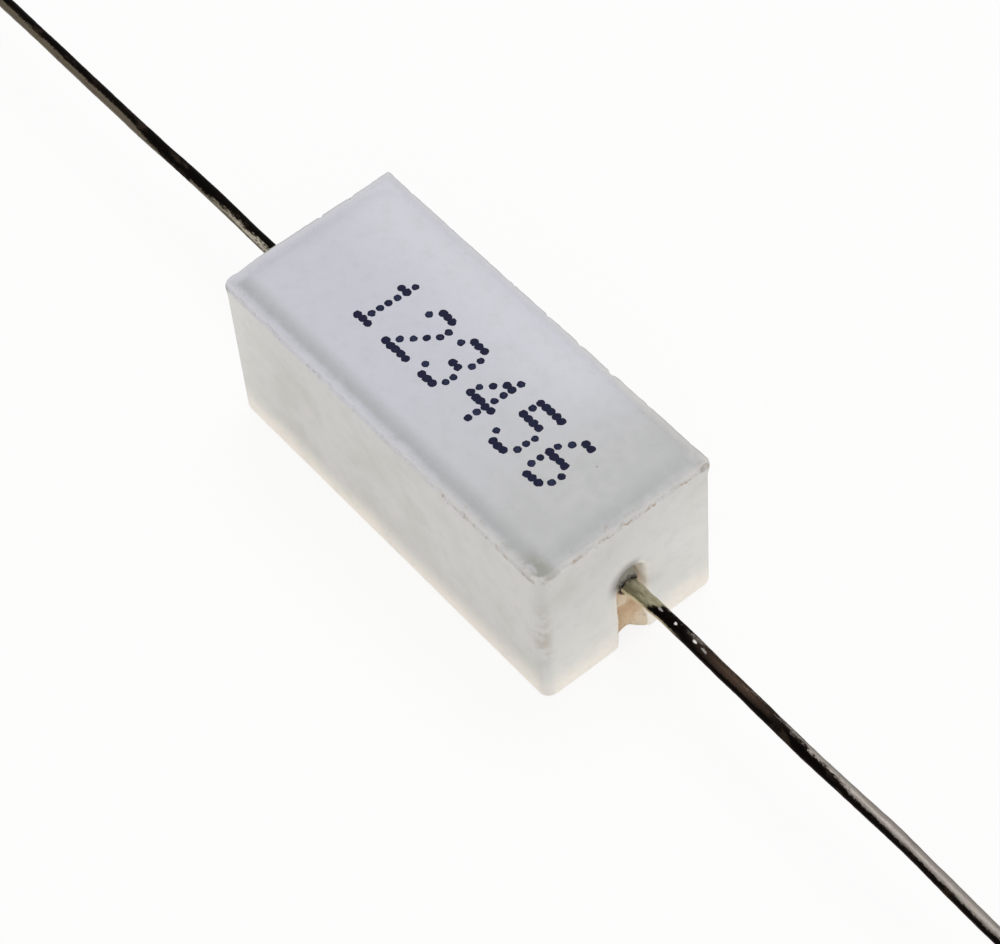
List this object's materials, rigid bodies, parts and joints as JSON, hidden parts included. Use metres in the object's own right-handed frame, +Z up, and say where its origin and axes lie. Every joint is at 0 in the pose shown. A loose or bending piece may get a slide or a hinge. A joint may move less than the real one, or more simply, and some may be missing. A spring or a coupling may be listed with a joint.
{
  "type": "axial resistor",
  "caption": "Cement-potted wire-wound power resistor: an oblong ceramic case, open below, with a straight wire lead out of each end.",
  "frame": {"origin": "under the middle of the case, on the plane of the rim of its open base", "axes": "+X along the leads towards lead_right, +Z up out of the closed top with the raised panel, +Y across the case"},
  "size_m": [0.092, 0.0096, 0.0092],
  "materials": {
    "case_ceramic": "matte",
    "potting_cement": "matte",
    "core_ceramic": "matte",
    "resistance_wire": "satin",
    "cap_steel": "satin",
    "lead_wire": "satin",
    "marking_ink": "matte"
  },
  "bodies": {
    "root": {"ceramic_case": "case_ceramic", "cement_fill": "potting_cement", "ceramic_core": "core_ceramic", "resistance_winding": "resistance_wire", "end_cap_left": "cap_steel", "end_cap_right": "cap_steel", "lead_left": "lead_wire", "lead_right": "lead_wire"}
  },
  "joints": []
}
